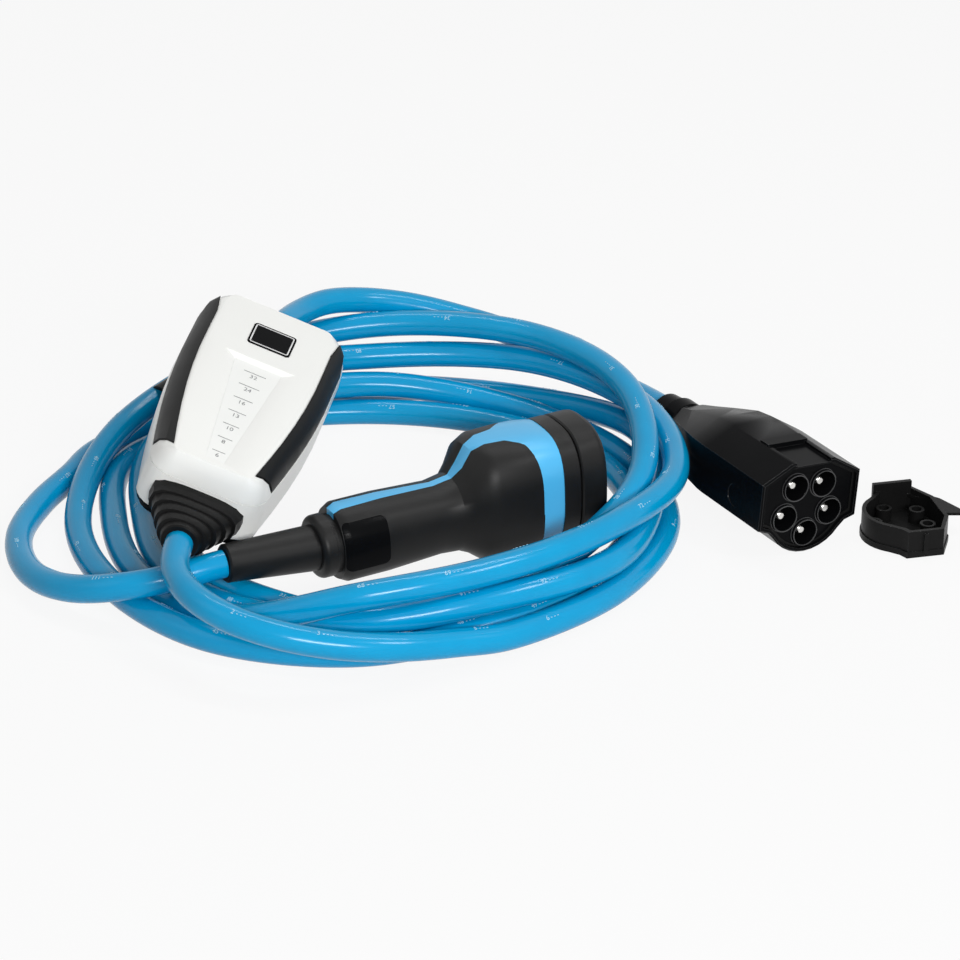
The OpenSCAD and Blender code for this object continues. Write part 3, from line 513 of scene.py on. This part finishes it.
def add_figure(shape, words, size, at):
    """A printed number, centred at a place in the assembly's millimetres."""
    mesh = figure_mesh(words, size, PRINT_T)
    mesh.transform(Matrix.Translation(at))
    shape.from_mesh(mesh)
    bpy.data.meshes.remove(mesh)


marks = bmesh.new()
film_z = BOX_T / 2 - RECESS_DEPTH + PRINT_T / 2
for k, figure in enumerate(SCALE):
    y = SCALE_TOP - SCALE_STEP * k
    add_stroke(marks, SCALE_LINE_W - SCALE_LINE_TAPER * k, SCALE_LINE_H, (0, y, film_z))
    add_figure(marks, figure, SCALE_FIGURE, (0, y - SCALE_FIGURE_DROP, film_z))
finish_piece("scale_marks", marks, ON_BOX, INK)


CORD_PRINT_T = 0.3
CORD_PRINT_STEP = 0.05
CORD_PRINT_SIZE = 4.2
CORD_PRINT_SWING, CORD_PRINT_PACE = 0.7, 1.9


def wrap_on_cord(mesh, route, start, turn):
    """Bends a flat print round the cord: its X runs along the route, its Y round the jacket."""
    walked = [0.0]
    for one, two in zip(route, route[1:]):
        walked.append(walked[-1] + (two - one).length)
    for vertex in mesh.vertices:
        reach = start + vertex.co.x * MM
        k = min(max(bisect.bisect_right(walked, reach), 1), len(route) - 1)
        ahead = (route[k] - route[k - 1]).normalized()
        side = ahead.cross(Vector((0, 0, 1))).normalized()
        angle = turn + vertex.co.y / CORD_R
        out = side * math.cos(angle) + side.cross(ahead) * math.sin(angle)
        vertex.co = route[k - 1] + ahead * (reach - walked[k - 1]) + out * (CORD_R + vertex.co.z) * MM


lengths = bmesh.new()
for k in range(1, int(route_length(vehicle_route) / CORD_PRINT_STEP)):
    print_mesh = figure_mesh(f"{k} - - -", CORD_PRINT_SIZE, CORD_PRINT_T)
    turned = math.pi / 2 + CORD_PRINT_SWING * math.sin(CORD_PRINT_PACE * k)
    wrap_on_cord(print_mesh, vehicle_route, k * CORD_PRINT_STEP, turned)
    lengths.from_mesh(print_mesh)
    bpy.data.meshes.remove(print_mesh)
length_marks = finish_piece("length_marks", lengths, Matrix.Identity(4), CORD_INK)


BORDER_INSET, BORDER_R, BORDER_W = 1.2, 1.6, 0.9


def rounded_plate(shape, width, height, radius):
    """A flat rounded rectangle of one face."""
    made = bmesh.ops.create_grid(shape, x_segments=1, y_segments=1, size=0.5)["verts"]
    bmesh.ops.scale(shape, vec=(width, height, 1), verts=made)
    bmesh.ops.bevel(shape, geom=made, offset=radius, segments=6, profile=0.5, affect="VERTICES", material=-1)


border = bmesh.new()
rounded_plate(border, BADGE_W - 2 * BORDER_INSET, BADGE_H - 2 * BORDER_INSET, BORDER_R)
rim = bmesh.ops.inset_region(border, faces=border.faces[:], thickness=BORDER_W, use_boundary=True,
                             use_even_offset=True)["faces"]
bmesh.ops.delete(border, geom=[f for f in border.faces if f not in rim], context="FACES")
bmesh.ops.solidify(border, geom=border.faces[:], thickness=PRINT_T)
on_badge = Matrix.Translation((*BADGE_AT, BOX_T / 2 + BADGE_PROUD + PRINT_T / 2))
finish_piece("badge_border", border, ON_BOX @ on_badge, PALE)


# Floor and light

FLOOR_REACH = 6
FLOOR_WHITE = 0.9  # share of plain white in what the camera sees of the floor
AMBIENT = 0.12
LIT_PLACE = (-0.04, 0.0, 0.03)

floor_shape = bmesh.new()
bmesh.ops.create_grid(floor_shape, x_segments=1, y_segments=1, size=FLOOR_REACH)
floor_mesh = bpy.data.meshes.new("floor")
floor_shape.to_mesh(floor_mesh)
floor_shape.free()
floor = bpy.data.objects.new("floor", floor_mesh)
bpy.context.scene.collection.objects.link(floor)
paper = Finish("paper")
card = paper.principled(Base_Color=grey(0.6), Roughness=0.62, Specular_IOR_Level=0.2)
white = paper.node("ShaderNodeEmission", None, {"Color": grey(1), "Strength": 1.0})
mixed = paper.node("ShaderNodeMixShader", None, {0: paper.seen() * FLOOR_WHITE, 1: card, 2: white})
paper.node("ShaderNodeOutputMaterial", None, {"Surface": mixed})
floor_mesh.materials.append(paper.owner)


def softbox(name, place, width, height, power):
    lamp = bpy.data.lights.new(name, "AREA")
    lamp.shape = "RECTANGLE"
    lamp.size, lamp.size_y = width, height
    lamp.energy = power
    box = bpy.data.objects.new(name, lamp)
    bpy.context.scene.collection.objects.link(box)
    aim(box, place, LIT_PLACE)


softbox("top_light", (0.2, 0.5, 1.7), width=1.8, height=0.12, power=11)
softbox("key_light", (1.2, -0.7, 1.5), width=0.3, height=0.3, power=8)
softbox("fill_light", (-1.4, -0.6, 1.2), width=1.0, height=1.0, power=1.5)
softbox("front_light", (0.35, -1.9, 0.9), width=1.0, height=0.25, power=34)

studio = Finish("studio", "worlds")
strength = AMBIENT + studio.seen() * (1 - AMBIENT)
glow = studio.node("ShaderNodeBackground", None, {"Color": grey(1), "Strength": strength})
studio.node("ShaderNodeOutputWorld", None, {"Surface": glow})
bpy.context.scene.world = studio.owner

bpy.context.scene.view_settings.view_transform = "Standard"
